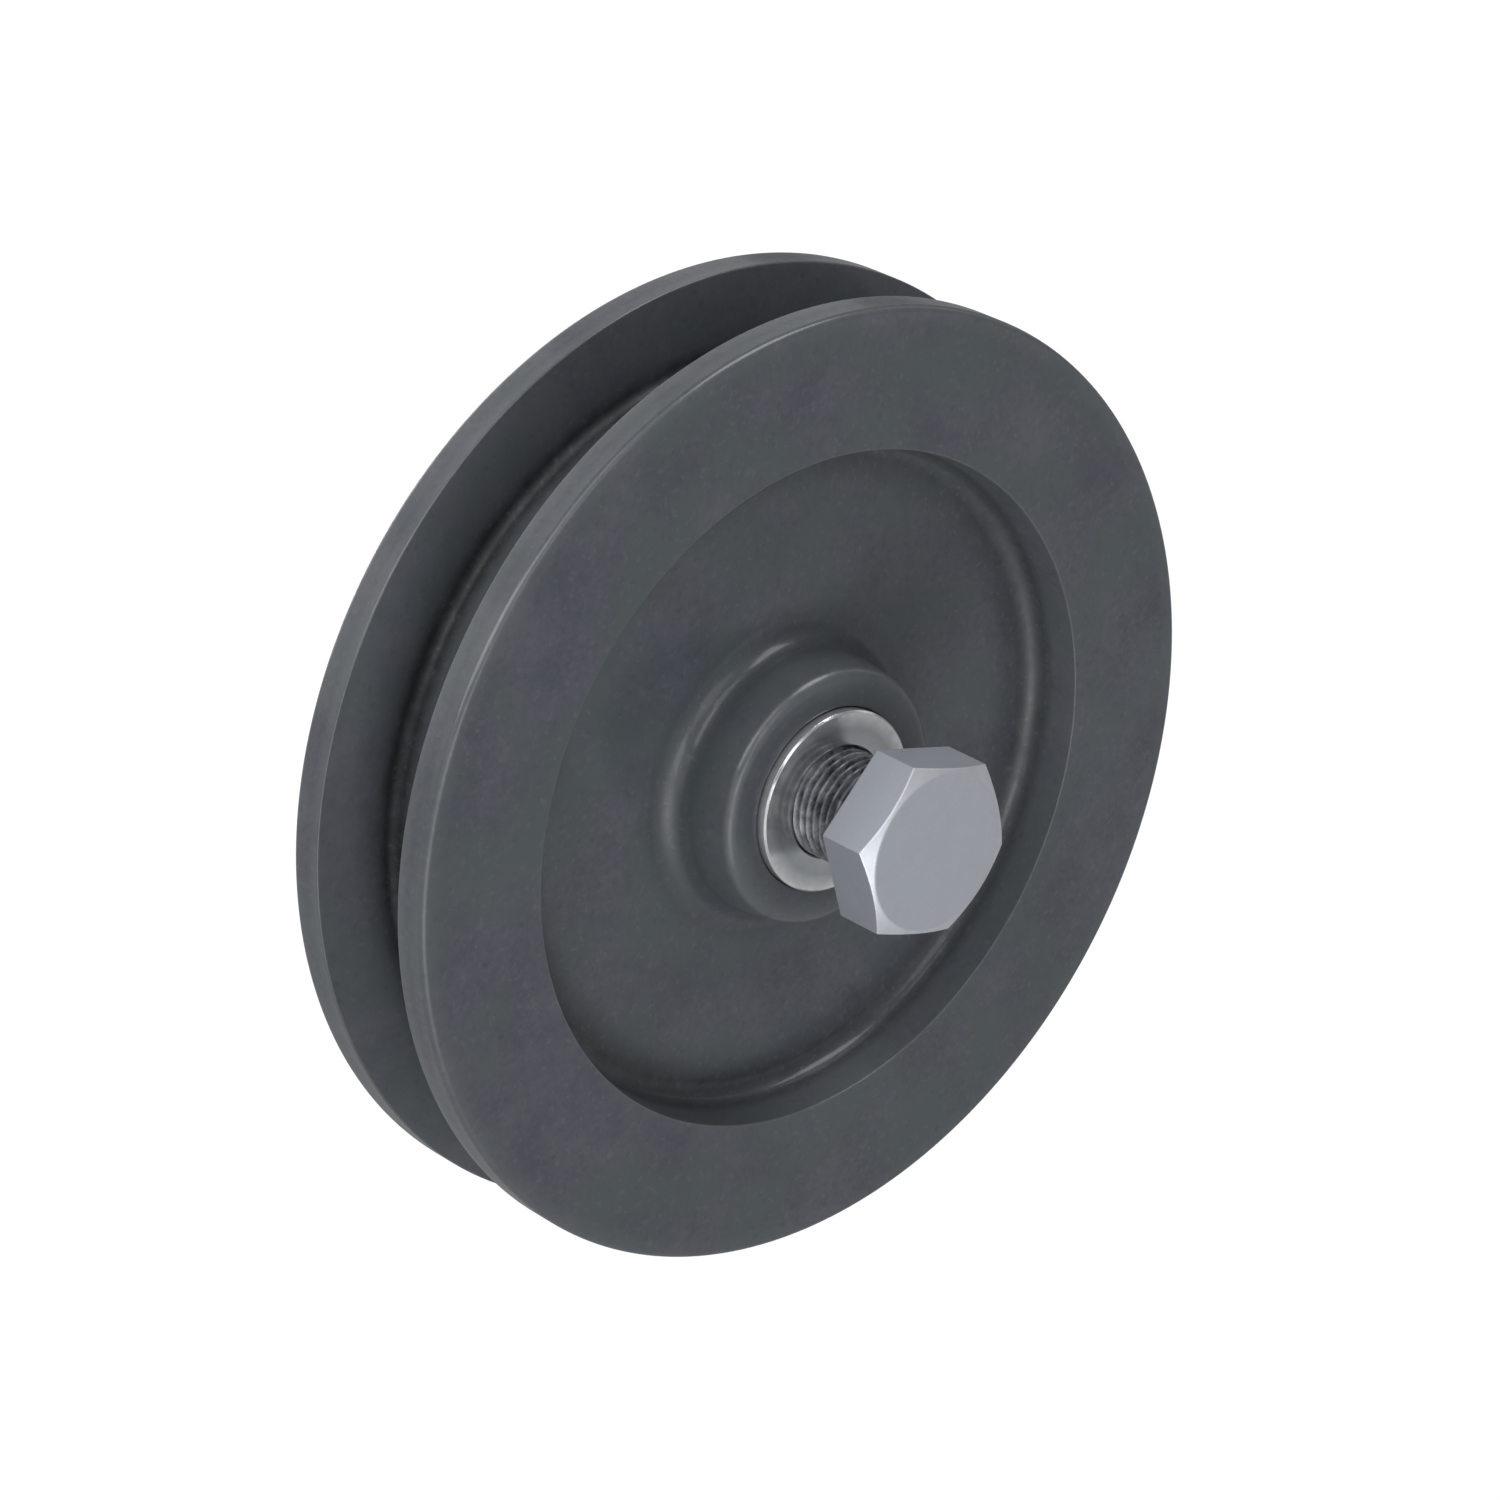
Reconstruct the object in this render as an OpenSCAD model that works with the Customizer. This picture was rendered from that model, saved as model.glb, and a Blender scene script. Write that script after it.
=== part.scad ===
// Cast iron gate wheel that rolls on a rail, with its axle bolt, bush and nut.
// The axle lies along Y through the centre of the wheel, and the bolt head faces -Y.

/* [Rim and rail groove] */
// Outside diameter over the two flanges
wheel_d = 105; // [85:1:200]
// Width of the rim from face to face
rim_w = 21; // [19:0.5:40]
// Radius of the rim's outer edges
rim_edge_r = 0.75; // [0.3:0.05:1.5]
// Width of the rail groove at the rim
groove_w = 13; // [10:0.5:15]
// Depth of the rail groove below the rim
groove_depth = 9.5; // [4:0.5:11]
// Draft of the groove's side walls, in degrees
groove_draft = 2; // [0.5:0.5:8]
// Radius of the groove's lips
groove_lip_r = 0.5; // [0.1:0.05:1]
// Radius in the corners of the groove's floor
groove_corner_r = 1; // [0.3:0.1:2.5]

/* [Web and dish] */
// Radial width of the flat rim face round the dish
face_w = 15.2; // [13:0.1:20]
// Thickness of the web between the two dishes
web_t = 8.8; // [5:0.2:12]
// Draft of the dish's wall, in degrees
dish_draft = 6; // [1:1:20]
// Radius of the dish's lip
dish_lip_r = 0.4; // [0.1:0.1:1]
// Radius at the foot of the dish's wall
dish_foot_r = 2; // [0.5:0.1:2.5]

/* [Hub boss] */
// How far each boss stands out past the rim's face
boss_out = 1.9; // [0.5:0.1:6]
// Wall of the boss round the bore, at its end face
boss_wall = 4; // [3.2:0.1:8]
// Draft of the boss's side, in degrees
boss_draft = 7; // [1:1:15]
// Radius of the bore's edges
bore_edge_r = 0.4; // [0.1:0.1:1]
// Radius of the boss's end edge
boss_edge_r = 1.2; // [0.3:0.1:2]
// Radius at the foot of the boss
boss_foot_r = 3; // [0.5:0.1:4]

/* [Bush] */
// Outside diameter of the bush that the hub turns on
bush_d = 20; // [18:0.5:24]
// How far the bush stands out of each boss, so that the fork cheeks clamp the bush alone
bush_out = 1; // [0.4:0.1:5]
// Chamfer on the edges of the bush's ends, outside and in the bore
bush_chamfer = 0.2; // [0.1:0.1:0.6]
// Running clearance between bush and hub, on the radius
running_clearance = 0.05; // [0.01:0.01:0.1]

/* [Bolt and nut] */
// Thread diameter of the axle bolt
bolt_d = 12; // [8:1:14]
// Width across the flats of the head and the nut
hex_af = 18; // [17:0.5:24]
// Height of the bolt head
head_h = 6.5; // [5:0.1:10]
// Angle that the bolt head is turned about the axle, in degrees
head_angle = 44.4; // [0:0.1:60]
// Height of the nut
nut_h = 10.8; // [6:0.1:14]
// Angle that the nut is turned about the axle, in degrees
nut_angle = 21; // [0:0.1:60]
// Countersink at each mouth of the nut's bore
nut_countersink = 0.5; // [0.2:0.1:0.8]
// How far the round face that the chamfer leaves stays inside the flats
hex_face_in = 0.4; // [0.1:0.1:1]
// Slope of the chamfers on the head and the nut, in degrees
hex_chamfer_slope = 27; // [15:1:40]
// Room for a fork cheek at each end of the bush
cheek_gap = 8.8; // [5:0.1:16]
// Length of bolt that stands out of the nut
tip_out = 4.8; // [2:0.1:12]
// Chamfer at the tip of the bolt
tip_chamfer = 1; // [0.4:0.1:1.6]
// Clearance round the bolt in the bush and the nut, on the radius
bolt_clearance = 0.1; // [0.02:0.01:0.3]

/* [Hidden] */
$fn = 96;
IRON = [0.26, 0.28, 0.30];
BRIGHT_STEEL = [0.74, 0.75, 0.77];

rim_r = wheel_d / 2;
groove_floor_r = rim_r - groove_depth;
groove_floor_w = groove_w - 2 * groove_depth * tan(groove_draft);
dish_mouth_r = rim_r - face_w;
dish_foot_at = dish_mouth_r - (rim_w - web_t) / 2 * tan(dish_draft);
hub_bore_r = bush_d / 2 + running_clearance;
hub_len = rim_w + 2 * boss_out;
boss_r = hub_bore_r + boss_wall;
boss_foot_at = boss_r + (hub_len - web_t) / 2 * tan(boss_draft);
bush_len = hub_len + 2 * bush_out;
bolt_bore_r = bolt_d / 2 + bolt_clearance;
head_seat = bush_len / 2 + cheek_gap;
bolt_len = 2 * head_seat + nut_h + tip_out;
hex_corner_r = hex_af / 2 / cos(30);
hex_face_r = hex_af / 2 - hex_face_in;
hex_drop = (hex_corner_r - hex_face_r) * tan(hex_chamfer_slope);
kite_reach = 1.2;
arc_overshoot = 1.001;
cut_past = 0.5;

// One side of the wheel's section, from the hub bore to the groove's floor.
// Each row is a corner: distance from the axle, distance from the middle plane, edge radius.
half_section = [
    [hub_bore_r, hub_len / 2, bore_edge_r],
    [boss_r, hub_len / 2, boss_edge_r],
    [boss_foot_at, web_t / 2, boss_foot_r],
    [dish_foot_at, web_t / 2, dish_foot_r],
    [dish_mouth_r, rim_w / 2, dish_lip_r],
    [rim_r, rim_w / 2, rim_edge_r],
    [rim_r, groove_w / 2, groove_lip_r],
    [groove_floor_r, groove_floor_w / 2, groove_corner_r]
];

function mirrored(corners) =
    [for (i = [len(corners) - 1 : -1 : 0]) [corners[i][0], -corners[i][1], corners[i][2]]];
function place(corners, i) = [corners[i % len(corners)][0], corners[i % len(corners)][1]];
function unit(v) = v / norm(v);

// Whether a clockwise outline turns inwards at a corner.
function is_hollow(corners, i) =
    let (
        arriving = place(corners, i) - place(corners, i + len(corners) - 1),
        leaving = place(corners, i + 1) - place(corners, i)
    )
    arriving[0] * leaving[1] > arriving[1] * leaving[0];

// The start, centre and end of the arc that rounds a corner.
function corner_arc(corners, i) =
    let (
        here = place(corners, i),
        to_before = unit(place(corners, i + len(corners) - 1) - here),
        to_after = unit(place(corners, i + 1) - here),
        half_angle = acos(to_before * to_after) / 2,
        r = corners[i][2],
        reach = r / tan(half_angle)
    )
    [
        here + to_before * reach,
        here + unit(to_before + to_after) * r / sin(half_angle),
        here + to_after * reach
    ];

// A clockwise outline with each corner rounded by its own radius.
// Hollow corners are filled to the arc's centre first, and then every arc is cut.
module rounded_outline(corners) {
    ends = [0 : len(corners) - 1];
    difference() {
        polygon([
            for (i = ends)
                each is_hollow(corners, i) ? corner_arc(corners, i) : [place(corners, i)]
        ]);
        for (i = ends)
            if (is_hollow(corners, i))
                arc_disc(corners, i);
            else
                difference() {
                    corner_kite(corners, i);
                    arc_disc(corners, i);
                }
    }
}

// A disc a hair larger than a corner's arc, so that it cuts across the edges it blends.
module arc_disc(corners, i) {
    translate(corner_arc(corners, i)[1])
        circle(corners[i][2] * arc_overshoot);
}

// What lies between an arc's centre and its corner, carried on past the corner.
module corner_kite(corners, i) {
    arc = corner_arc(corners, i);
    polygon([
        arc[1],
        for (p = [arc[0], place(corners, i), arc[2]]) arc[1] + (p - arc[1]) * kite_reach
    ]);
}

// Turns a piece modelled along Z so that its top faces -Y.
module on_axle() {
    rotate([90, 0, 0])
        children();
}

// A hexagon of height h with its top corners chamfered to a round flat, and its foot too if asked.
module chamfered_hex(h, angle, both) {
    foot_drop = both ? hex_drop : 0;
    foot_r = both ? hex_face_r : hex_corner_r;
    intersection() {
        rotate(angle)
            cylinder(h = h, r = hex_corner_r, $fn = 6);
        rotate_extrude()
            polygon([
                [0, 0],
                [foot_r, 0],
                [hex_corner_r, foot_drop],
                [hex_corner_r, h - hex_drop],
                [hex_face_r, h],
                [0, h]
            ]);
    }
}

module wheel() {
    color(IRON)
        on_axle()
            rotate_extrude()
                rounded_outline(concat(half_section, mirrored(half_section)));
}

module bush() {
    end_at = bush_len / 2;
    color(BRIGHT_STEEL)
        on_axle()
            rotate_extrude()
                polygon([
                    [bolt_bore_r, end_at - bush_chamfer],
                    [bolt_bore_r + bush_chamfer, end_at],
                    [bush_d / 2 - bush_chamfer, end_at],
                    [bush_d / 2, end_at - bush_chamfer],
                    [bush_d / 2, bush_chamfer - end_at],
                    [bush_d / 2 - bush_chamfer, -end_at],
                    [bolt_bore_r + bush_chamfer, -end_at],
                    [bolt_bore_r, bush_chamfer - end_at]
                ]);
}

module bolt() {
    color(BRIGHT_STEEL)
        on_axle() {
            translate([0, 0, head_seat])
                chamfered_hex(head_h, head_angle, both = false);
            translate([0, 0, head_seat - bolt_len + tip_chamfer])
                cylinder(h = bolt_len - tip_chamfer, d = bolt_d);
            translate([0, 0, head_seat - bolt_len])
                cylinder(h = tip_chamfer, d1 = bolt_d - 2 * tip_chamfer, d2 = bolt_d);
        }
}

module nut() {
    color(BRIGHT_STEEL)
        on_axle()
            translate([0, 0, -head_seat - nut_h])
                difference() {
                    chamfered_hex(nut_h, nut_angle, both = true);
                    nut_bore();
                }
}

// What is bored out of the nut, with a countersink at each mouth that is carried on past the faces.
module nut_bore() {
    mouth_r = bolt_bore_r + nut_countersink + cut_past;
    rotate_extrude()
        polygon([
            [0, -cut_past],
            [mouth_r, -cut_past],
            [bolt_bore_r, nut_countersink],
            [bolt_bore_r, nut_h - nut_countersink],
            [mouth_r, nut_h + cut_past],
            [0, nut_h + cut_past]
        ]);
}

wheel();
bush();
bolt();
nut();
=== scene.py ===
"""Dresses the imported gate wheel: the iron casting, its steel bush, the axle bolt and the nut.

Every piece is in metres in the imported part's own frame, with the axle along Y and the bolt head
towards -Y. Sizes are written in millimetres, as on a drawing, and scaled once when a mesh is made.
"""
import logging
import math
from dataclasses import dataclass, field
from enum import Enum
from itertools import accumulate
from typing import Iterable

import bmesh
import bpy
from bpy.types import Material, Mesh, Node, NodeSocket, NodeTree, Object
from mathutils import Matrix, Vector


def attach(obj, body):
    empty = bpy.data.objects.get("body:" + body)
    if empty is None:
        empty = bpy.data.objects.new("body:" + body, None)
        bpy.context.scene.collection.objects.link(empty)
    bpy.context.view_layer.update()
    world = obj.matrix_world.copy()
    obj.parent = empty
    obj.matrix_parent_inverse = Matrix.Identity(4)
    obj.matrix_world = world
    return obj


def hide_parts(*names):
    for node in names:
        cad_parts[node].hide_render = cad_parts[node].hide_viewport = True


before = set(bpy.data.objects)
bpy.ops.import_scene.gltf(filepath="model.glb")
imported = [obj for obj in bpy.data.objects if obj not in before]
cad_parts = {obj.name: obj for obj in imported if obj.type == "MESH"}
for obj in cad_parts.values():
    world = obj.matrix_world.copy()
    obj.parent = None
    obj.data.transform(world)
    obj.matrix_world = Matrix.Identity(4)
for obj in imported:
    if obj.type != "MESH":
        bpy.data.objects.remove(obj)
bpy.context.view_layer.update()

Colour = tuple[float, float, float, float]

LOG = logging.getLogger("gate_wheel")
MM = 0.001
WELD = 1e-6
WHITE = (1.0, 1.0, 1.0, 1.0)
EDGE = "edge"
HOLLOW = "hollow"

# The thread's profile, as shares of the way from crest to root, and the painted highlight and
# painted shade on it.
CREST_END, ROOT_START = 0.10, 0.86
HIGHLIGHT_END, CREST_HIGHLIGHT = 0.15, 0.25
SHADE_FULL, CREST_SHADE = 0.5, 0.88


class Body(Enum):
    """The bodies that pieces ride on."""

    AXLE = "axle"
    WHEEL = "wheel"


class Slot(Enum):
    """The record's material slots."""

    IRON = "iron"
    BUSH_STEEL = "bush_steel"
    BOLT_STEEL = "bolt_steel"


class Kind(Enum):
    """The kinds of socket that the node trees here use."""

    FLOAT = "NodeSocketFloat"
    COUNT = "NodeSocketInt"
    COLOUR = "NodeSocketColor"
    MESH = "NodeSocketGeometry"
    FINISH = "NodeSocketMaterial"


class Wiring:
    """Adds nodes to one tree and joins them up."""

    def __init__(self, tree: NodeTree) -> None:
        """Starts work on the tree that the nodes go into."""
        self.tree = tree

    def add(self, kind: str, inputs: dict | None = None, **settings: object) -> Node:
        """Adds one node.

        Args:
            kind: Blender's name for the node's type.
            inputs: Values or sockets for the node's inputs, by name or number.
            **settings: Properties of the node itself.

        Returns:
            The new node.
        """
        node = self.tree.nodes.new(kind)
        for name, value in settings.items():
            setattr(node, name, value)
        self.fill(node, inputs or {})
        return node

    def fill(self, node: Node, inputs: dict) -> None:
        """Feeds several inputs of a node, each by its name or number."""
        for key, value in inputs.items():
            self.feed(node.inputs[key], value)

    def feed(self, socket: NodeSocket, value: object) -> None:
        """Links a socket to another one, or sets its value.

        Args:
            socket: The input to feed.
            value: An output socket, or a plain value.
        """
        if isinstance(value, NodeSocket):
            self.tree.links.new(value, socket)
        else:
            socket.default_value = value

    def math(self, operation: str, *values: object) -> NodeSocket:
        """Adds a sum of numbers or sockets, and returns its result."""
        return self.add("ShaderNodeMath", dict(enumerate(values)), operation=operation).outputs[0]

    def ramp(self, value: object, low: object, high: object, to_low: object = 0.0,
             to_high: object = 1.0, smooth: bool = False) -> NodeSocket:
        """Maps one range of values to another, clamped at both ends.

        Args:
            value: The value to map.
            low: Where the first range starts.
            high: Where the first range ends.
            to_low: What low becomes.
            to_high: What high becomes.
            smooth: Whether the ends are eased.

        Returns:
            The result's socket.
        """
        node = self.add("ShaderNodeMapRange", {
            "Value": value, "From Min": low, "From Max": high, "To Min": to_low, "To Max": to_high,
        }, interpolation_type="SMOOTHSTEP" if smooth else "LINEAR")
        return node.outputs[0]

    def mix_colours(self, share: object, first: object, second: object) -> NodeSocket:
        """Mixes two colours, where the share says how much of the second there is."""
        node = self.add("ShaderNodeMix", {0: share, 6: first, 7: second}, data_type="RGBA")
        return node.outputs[2]

    def noise(self, vector: object, scale: object, detail: float,
              roughness: float = 0.5) -> NodeSocket:
        """Adds a noise of so many waves to a metre, whose value is about 0.5 on average."""
        inputs = {"Vector": vector, "Scale": scale, "Detail": detail, "Roughness": roughness}
        return self.add("ShaderNodeTexNoise", inputs).outputs[0]

    def group(self, tree: NodeTree, **values: object) -> bpy.types.bpy_prop_collection:
        """Places a shared group, its inputs named with underscores, and returns its outputs."""
        inputs = {name.replace("_", " ").capitalize(): value for name, value in values.items()}
        return self.add("ShaderNodeGroup", inputs, node_tree=tree).outputs

    def rolled_grid(self, around: object, points: object) -> tuple:
        """Adds a grid that is to be bent round the axle.

        Args:
            around: How many steps there are about the axle.
            points: How many points each step has.

        Returns:
            The grid, and for each of its points the step that it is in and its number there.
        """
        grid = self.add("GeometryNodeMeshGrid", {
            "Vertices X": self.math("ADD", around, 1), "Vertices Y": points,
        }).outputs["Mesh"]
        index = self.add("GeometryNodeInputIndex").outputs[0]
        step = self.math("FLOOR", self.math("DIVIDE", self.math("ADD", index, 0.5), points))
        return grid, step, self.math("SUBTRACT", index, self.math("MULTIPLY", step, points))

    def bent(self, grid: object, r: object, along: object, angle: object) -> NodeSocket:
        """Moves a grid's points to their places about the axle.

        Args:
            grid: The grid.
            r: Each point's distance from the axle.
            along: Its place along the axle.
            angle: Its angle about the axle.

        Returns:
            The bent mesh's socket.
        """
        place = self.add("ShaderNodeCombineXYZ", {
            0: self.math("MULTIPLY", r, self.math("COSINE", angle)), 1: along,
            2: self.math("MULTIPLY", r, self.math("SINE", angle)),
        }).outputs[0]
        return self.add("GeometryNodeSetPosition", {"Geometry": grid, "Position": place}).outputs[0]

    def marked(self, mesh: object, name: str, share: object) -> NodeSocket:
        """Stores a number on each point of a mesh, as an attribute of that name."""
        inputs = {"Geometry": mesh, "Name": name, "Value": share}
        return self.add("GeometryNodeStoreNamedAttribute", inputs, data_type="FLOAT").outputs[0]

    def completed(self, mesh: object, finish: object) -> NodeSocket:
        """Welds a mesh's seams and gives it its finish.

        Args:
            mesh: The mesh's socket.
            finish: The material's socket.

        Returns:
            The completed mesh's socket.
        """
        steps = (("GeometryNodeMergeByDistance", {"Distance": WELD}),
                 ("GeometryNodeSetShadeSmooth", {}),
                 ("GeometryNodeRealizeInstances", {}),
                 ("GeometryNodeSetMaterial", {"Material": finish}))
        for kind, more in steps:
            mesh = self.add(kind, {"Geometry": mesh, **more}).outputs[0]
        return mesh


def new_tree(name: str, kind: str, inputs: Iterable[tuple], outputs: Iterable[tuple]) -> tuple:
    """Makes an empty node group with named sockets.

    Args:
        name: The group's name.
        kind: Blender's name for the tree's type.
        inputs: Name, Kind and default value of each input.
        outputs: Name and Kind of each output.

    Returns:
        The wiring of the tree, its input node and its output node.
    """
    tree = bpy.data.node_groups.new(name, kind)
    for title, socket_kind, value in inputs:
        socket = tree.interface.new_socket(title, in_out="INPUT", socket_type=socket_kind.value)
        if value is not None:
            socket.default_value = value
    for title, socket_kind in outputs:
        tree.interface.new_socket(title, in_out="OUTPUT", socket_type=socket_kind.value)
    wiring = Wiring(tree)
    return wiring, wiring.add("NodeGroupInput"), wiring.add("NodeGroupOutput")


def turned_tree() -> NodeTree:
    """Builds the tree that turns a section about the axle.

    Returns:
        A geometry tree whose input mesh is the section's points in order, as radius and place
        along the axle.
    """
    wire, given, result = new_tree("Turned piece", "GeometryNodeTree", [
        ("Section", Kind.MESH, None), ("Segments", Kind.COUNT, 64), ("Finish", Kind.FINISH, None),
    ], [("Piece", Kind.MESH)])
    section, segments = given.outputs["Section"], given.outputs["Segments"]
    size = wire.add("GeometryNodeAttributeDomainSize", {"Geometry": section})
    grid, ring, number = wire.rolled_grid(segments, size.outputs["Point Count"])

    def sampled(value: NodeSocket, kind: str) -> NodeSocket:
        """Reads a value at this point's place in the section."""
        inputs = {"Geometry": section, "Value": value, "Index": number}
        return wire.add("GeometryNodeSampleIndex", inputs, data_type=kind).outputs[0]

    point = sampled(wire.add("GeometryNodeInputPosition").outputs[0], "FLOAT_VECTOR")
    r, along, _ = wire.add("ShaderNodeSeparateXYZ", {0: point}).outputs
    angle = wire.math("DIVIDE", wire.math("MULTIPLY", ring, math.tau), segments)
    mesh = wire.bent(grid, r, along, angle)
    for name in (EDGE, HOLLOW):
        share = wire.add("GeometryNodeInputNamedAttribute", {"Name": name}, data_type="FLOAT")
        mesh = wire.marked(mesh, name, sampled(share.outputs[0], "FLOAT"))
    wire.feed(result.inputs["Piece"], wire.completed(mesh, given.outputs["Finish"]))
    return wire.tree


def thread_tree() -> NodeTree:
    """Builds the tree that rolls a right-handed thread along a shank.

    Returns:
        A geometry tree that makes an open tube along +Y, with its tip chamfered.
    """
    sizes = (("Start", 0.0), ("Length", 0.05), ("Radius", 0.006), ("Pitch", 0.001),
             ("Depth", 0.0006), ("Run in", 0.0005), ("Tip chamfer", 0.001))
    counts = (("Segments", 72), ("Rows", 600))
    wire, given, result = new_tree("Rolled thread", "GeometryNodeTree", [
        ("Base", Kind.MESH, None), *((name, Kind.FLOAT, value) for name, value in sizes),
        *((name, Kind.COUNT, value) for name, value in counts), ("Finish", Kind.FINISH, None),
    ], [("Shank", Kind.MESH)])
    start, length, radius, pitch, depth, run_in, chamfer, segments, rows = (
        given.outputs[name] for name, _ in sizes + counts)
    grid, ring, row = wire.rolled_grid(segments, wire.math("ADD", rows, 1))
    turn = wire.math("DIVIDE", ring, segments)
    along = wire.math("DIVIDE", wire.math("MULTIPLY", row, length), rows)
    phase = wire.math("FRACT", wire.math("ADD", wire.math("DIVIDE", along, pitch), turn))
    swing = wire.math("SUBTRACT", wire.math("MULTIPLY", phase, 2.0), 1.0)
    flank = wire.ramp(wire.math("ABSOLUTE", swing), CREST_END, ROOT_START, smooth=True)
    fade = wire.ramp(along, 0.0, run_in, smooth=True)
    cut = wire.math("MULTIPLY", wire.math("MULTIPLY", flank, fade), depth)
    to_tip = wire.math("SUBTRACT", length, along)
    tip_r = wire.math("ADD", wire.math("SUBTRACT", radius, chamfer), to_tip)
    r = wire.math("MINIMUM", wire.math("SUBTRACT", radius, cut), tip_r)
    angle = wire.math("MULTIPLY", turn, math.tau)
    mesh = wire.bent(grid, r, wire.math("ADD", start, along), angle)
    # Painted highlight along the crests, and painted shade down the flanks into the roots.
    crest = wire.ramp(flank, 0.0, HIGHLIGHT_END, CREST_HIGHLIGHT, 0.0)
    sunk = wire.ramp(flank, 0.0, SHADE_FULL, CREST_SHADE, 1.0)
    cut_share = wire.math("MULTIPLY", fade, wire.ramp(to_tip, 0.0, chamfer, smooth=True))
    for name, part in ((HOLLOW, sunk), (EDGE, crest)):
        mesh = wire.marked(mesh, name, wire.math("MULTIPLY", part, cut_share))
    wire.feed(result.inputs["Shank"], wire.completed(mesh, given.outputs["Finish"]))
    return wire.tree


def in_scene(name: str, data: bpy.types.ID) -> Object:
    """Puts a mesh, a light or a camera in the scene.

    Args:
        name: The object's name.
        data: What the object holds.

    Returns:
        The new object.
    """
    holder = bpy.data.objects.new(name, data)
    bpy.context.scene.collection.objects.link(holder)
    return holder


def grown_mesh(base: Mesh, tree: NodeTree, values: dict[str, object]) -> Mesh:
    """Runs a geometry tree once and keeps its result as a plain mesh.

    Args:
        base: The mesh that the tree starts from.
        tree: The geometry tree.
        values: The tree's inputs by name.

    Returns:
        The plain mesh.
    """
    carrier = in_scene(base.name, base)
    modifier = carrier.modifiers.new(tree.name, "NODES")
    modifier.node_group = tree
    for item in tree.interface.items_tree:
        if item.in_out == "INPUT" and item.name in values:
            modifier[item.identifier] = values[item.name]
    depsgraph = bpy.context.evaluated_depsgraph_get()
    mesh = bpy.data.meshes.new_from_object(carrier.evaluated_get(depsgraph), depsgraph=depsgraph)
    carrier.modifiers.remove(modifier)
    bpy.data.objects.remove(carrier)
    return mesh


@dataclass(frozen=True)
class Corner:
    """One corner of a turned section, in millimetres.

    An outer corner gets wear and a painted highlight unless it takes shade, and a hollow one gets
    painted shade. The share says how strongly, and the reach how far that spreads along the section
    before and after the corner.
    """

    out: float
    along: float
    edge: float
    share: float = 0.3
    reach: tuple[float, float] = (0.3, 0.3)
    takes_shade: bool = False

    def place(self) -> Vector:
        """The corner as a point, radius first."""
        return Vector((self.out, self.along))

    def mirrored(self) -> "Corner":
        """The same corner on the other side of the middle plane."""
        return Corner(self.out, -self.along, self.edge, self.share, self.reach[::-1], self.takes_shade)


@dataclass
class Arc:
    """A rounded corner of a section."""

    corner: Corner
    points: list[Vector]
    hollow: bool
    start: float = 0.0
    end: float = 0.0

    def spread(self, at: float, total: float) -> float:
        """How much of the corner's painted highlight and wear, for a hollow one its painted shade,
        reaches a place on the section.

        Args:
            at: The place, as a length along the section.
            total: The section's whole length.

        Returns:
            The share, up to the corner's own.
        """
        if self.start <= at <= self.end:
            return self.corner.share
        before, after = (self.start - at) % total, (at - self.end) % total
        falls = (before / self.corner.reach[0], after / self.corner.reach[1])
        return self.corner.share * max(math.exp(-fall ** 2) for fall in falls)


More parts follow.
